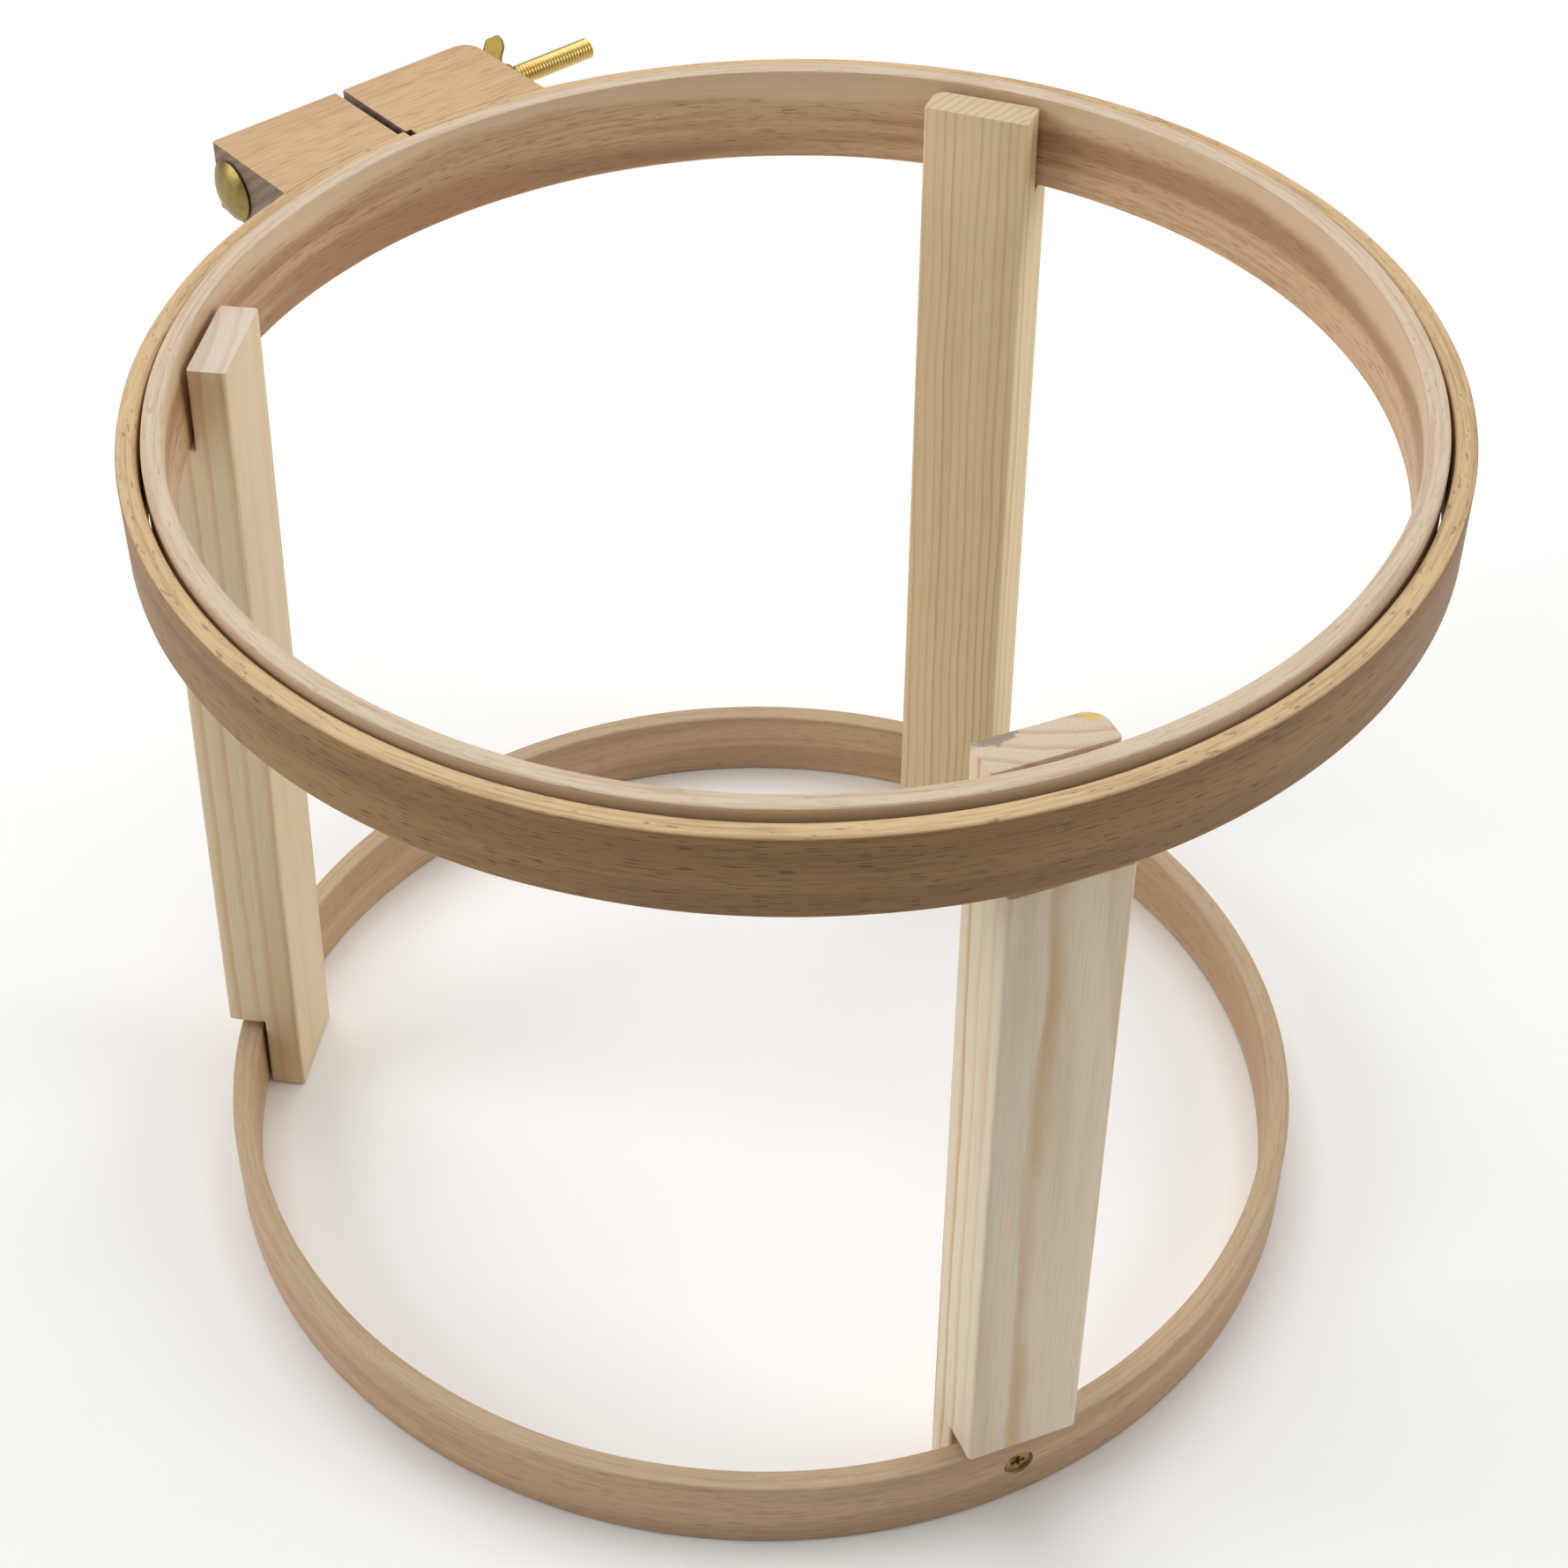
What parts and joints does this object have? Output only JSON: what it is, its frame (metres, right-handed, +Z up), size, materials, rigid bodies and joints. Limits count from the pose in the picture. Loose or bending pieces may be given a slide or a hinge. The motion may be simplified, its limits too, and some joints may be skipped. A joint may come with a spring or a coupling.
{
  "type": "embroidery hoop on stand",
  "caption": "Wooden embroidery hoop held level on three notched posts above a base hoop; a long clamp bolt with a wing nut tightens the split outer hoop.",
  "frame": {"origin": "bottom centre of the bounding box, on the surface that the base hoop stands on", "axes": "+Z up, along the hoops' axis; the clamp is on the +Y side; +X along the clamp bolt, from its head towards its wing nut"},
  "size_m": [0.314, 0.3492, 0.251],
  "materials": {
    "outer_hoop_wood": "satin steamed beech, sanded smooth",
    "clamp_block_wood": "satin beech, rough sawn in the cut",
    "inner_hoop_wood": "bare beech, sanded smooth",
    "base_hoop_wood": "bare beech, sanded smooth",
    "post_wood": "bare planed pine",
    "bolt_brass": "satin, rolled thread",
    "wing_nut_brass": "matte, cast",
    "screw_brass": "aged, cross recessed"
  },
  "bodies": {
    "stand": {"base_hoop": "base_hoop_wood", "inner_hoop": "inner_hoop_wood", "left_post": "post_wood", "right_post": "post_wood", "front_post": "post_wood", "hoop_screw_left": "screw_brass", "hoop_screw_right": "screw_brass", "hoop_screw_front": "screw_brass", "base_screw_left": "screw_brass", "base_screw_right": "screw_brass", "base_screw_front": "screw_brass"},
    "clamp_hoop": {"outer_hoop": "outer_hoop_wood", "clamp_block_head": "clamp_block_wood", "clamp_block_nut": "clamp_block_wood", "carriage_bolt": "bolt_brass"},
    "washer": {"bolt_washer": "bolt_brass"},
    "nut": {"wing_nut": "wing_nut_brass"}
  },
  "joints": [
    {"name": "hoop_lift", "type": "slide", "parent": "stand", "child": "clamp_hoop", "axis": [0, 0, 1], "range_m": [-0.002, 0.04]},
    {"name": "washer_slide", "type": "slide", "parent": "clamp_hoop", "child": "washer", "axis": [1, 0, 0], "range_m": [0, 0.0221]},
    {"name": "wing_nut_turn", "type": "hinge", "parent": "washer", "child": "nut", "pos_m": [0.0436, 0.15986, 0.238], "axis": [1, 0, 0], "range_deg": [0, 7920]}
  ],
  "couplings": [
    {"joint": "washer_slide", "follows": "wing_nut_turn", "m_per_rad": 0.00015915}
  ]
}
